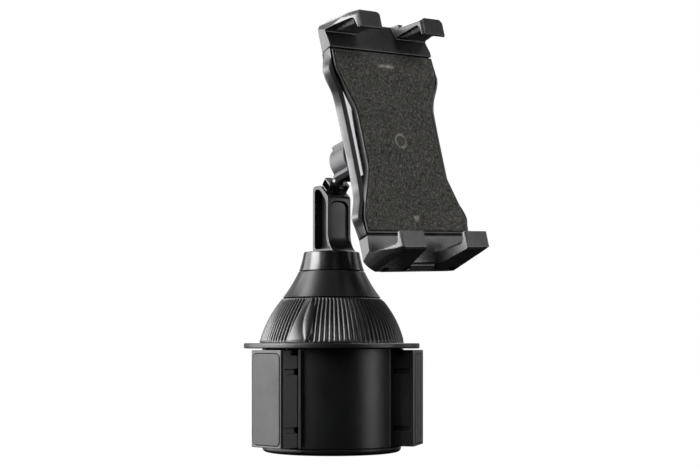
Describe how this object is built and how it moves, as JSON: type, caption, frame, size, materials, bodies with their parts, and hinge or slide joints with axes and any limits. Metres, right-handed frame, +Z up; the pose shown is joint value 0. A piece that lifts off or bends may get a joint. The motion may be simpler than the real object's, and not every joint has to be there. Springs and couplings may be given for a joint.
{
  "type": "car phone mount",
  "caption": "Cup-holder phone mount: expanding cup base with dial, swivelling post, ball joint and a padded holder with spring-loaded hooked clamps.",
  "frame": {"origin": "centre of the bottom face of the cup insert", "axes": "+Z up along the axis of the cup insert and dial, the holder faces -Y, +X to the right as seen by the user"},
  "size_m": [0.0877, 0.1267, 0.2047],
  "materials": {
    "base_plastic": "fine-grained black moulded plastic",
    "wing_plastic": "satin black moulded plastic",
    "wing_rubber": "matte charcoal rubber",
    "flange_plastic": "satin black moulded plastic",
    "dial_plastic": "satin black ribbed plastic",
    "cone_plastic": "satin black plastic",
    "inner_plastic": "dark grey plastic",
    "gloss_plastic": "polished black plastic",
    "post_plastic": "satin black plastic",
    "seat_plastic": "natural acetal",
    "housing_plastic": "satin black plastic",
    "nut_plastic": "satin dark grey plastic",
    "frame_plastic": "satin black plastic",
    "foam": "speckled dark grey foam",
    "clamp_plastic": "satin black plastic",
    "hook_rubber": "matte black rubber",
    "screw_steel": "zinc plated",
    "rod_steel": "ground and polished",
    "spring_steel": "drawn spring wire"
  },
  "bodies": {
    "base": {"bottom_cap": "base_plastic", "cup_body": "base_plastic", "cap_screws": "screw_steel", "flange_plate": "flange_plastic", "flange_screws": "screw_steel", "center_column": "inner_plastic", "column_screw": "screw_steel", "cone_cover": "cone_plastic", "friction_washer": "seat_plastic"},
    "wing_a": {"wing_1": "wing_plastic", "wing_pad_1": "wing_rubber"},
    "wing_b": {"wing_2": "wing_plastic", "wing_pad_2": "wing_rubber"},
    "wing_c": {"wing_3": "wing_plastic", "wing_pad_3": "wing_rubber"},
    "dial": {"grip_dial": "dial_plastic", "scroll_disc": "inner_plastic"},
    "neck": {"swivel_collar": "gloss_plastic", "swivel_bolt": "screw_steel", "post_arm": "post_plastic", "ball_stud": "gloss_plastic"},
    "tilt_seat": {"ball_seat_rear": "seat_plastic"},
    "swing_seat": {"ball_seat_front": "seat_plastic"},
    "holder": {"ball_socket": "housing_plastic", "back_housing": "housing_plastic", "housing_screws": "screw_steel", "holder_frame": "frame_plastic", "face_plate": "frame_plastic", "face_pad": "foam", "bottom_clamp": "clamp_plastic", "clamp_screws": "screw_steel", "hook_pad_low_left": "hook_rubber", "hook_pad_low_right": "hook_rubber", "clamp_spring_left": "spring_steel", "clamp_spring_right": "spring_steel"},
    "nut": {"clamp_nut": "nut_plastic"},
    "top_jaw": {"top_clamp": "clamp_plastic", "guide_rods": "rod_steel", "rod_clips": "spring_steel", "hook_pad_top_left": "hook_rubber", "hook_pad_top_right": "hook_rubber"}
  },
  "joints": [
    {"name": "dial_turn", "type": "hinge", "parent": "base", "child": "dial", "pos_m": [0, 0, 0.055], "axis": [0, 0, 1], "range_deg": [-150, 25]},
    {"name": "wing_a_slide", "type": "slide", "parent": "base", "child": "wing_a", "axis": [-0.9903, -0.1392, 0], "range_m": [-0.0095, 0.0016]},
    {"name": "wing_b_slide", "type": "slide", "parent": "base", "child": "wing_b", "axis": [0.6157, -0.788, 0], "range_m": [-0.0095, 0.0016]},
    {"name": "wing_c_slide", "type": "slide", "parent": "base", "child": "wing_c", "axis": [0.3746, 0.9272, 0], "range_m": [-0.0095, 0.0016]},
    {"name": "neck_swivel", "type": "hinge", "parent": "base", "child": "neck", "pos_m": [0, 0, 0.088], "axis": [0, 0, 1], "continuous": true},
    {"name": "ball_tilt", "type": "hinge", "parent": "neck", "child": "tilt_seat", "pos_m": [0, -0.0125, 0.1399], "axis": [-1, 0, 0], "range_deg": [-4, 35]},
    {"name": "ball_swing", "type": "hinge", "parent": "tilt_seat", "child": "swing_seat", "pos_m": [0, -0.0125, 0.1399], "axis": [-0.0436, 0.2485, 0.9677], "range_deg": [-15, 15]},
    {"name": "ball_spin", "type": "hinge", "parent": "swing_seat", "child": "holder", "pos_m": [0, -0.0125, 0.1399], "axis": [0, -0.9686, 0.2487], "continuous": true},
    {"name": "nut_turn", "type": "hinge", "parent": "holder", "child": "nut", "pos_m": [0, -0.0125, 0.1399], "axis": [0, -0.9686, 0.2487], "range_deg": [-180, 180]},
    {"name": "top_jaw_slide", "type": "slide", "parent": "holder", "child": "top_jaw", "axis": [-0.0436, 0.2485, 0.9677], "range_m": [0, 0.05], "stiffness_N_per_m": 80, "springref_m": -0.04, "deforming": ["clamp_spring_left", "clamp_spring_right"]}
  ],
  "couplings": [
    {"joint": "wing_a_slide", "follows": "dial_turn", "m_per_rad": 0.0036},
    {"joint": "wing_b_slide", "follows": "dial_turn", "m_per_rad": 0.0036},
    {"joint": "wing_c_slide", "follows": "dial_turn", "m_per_rad": 0.0036}
  ]
}
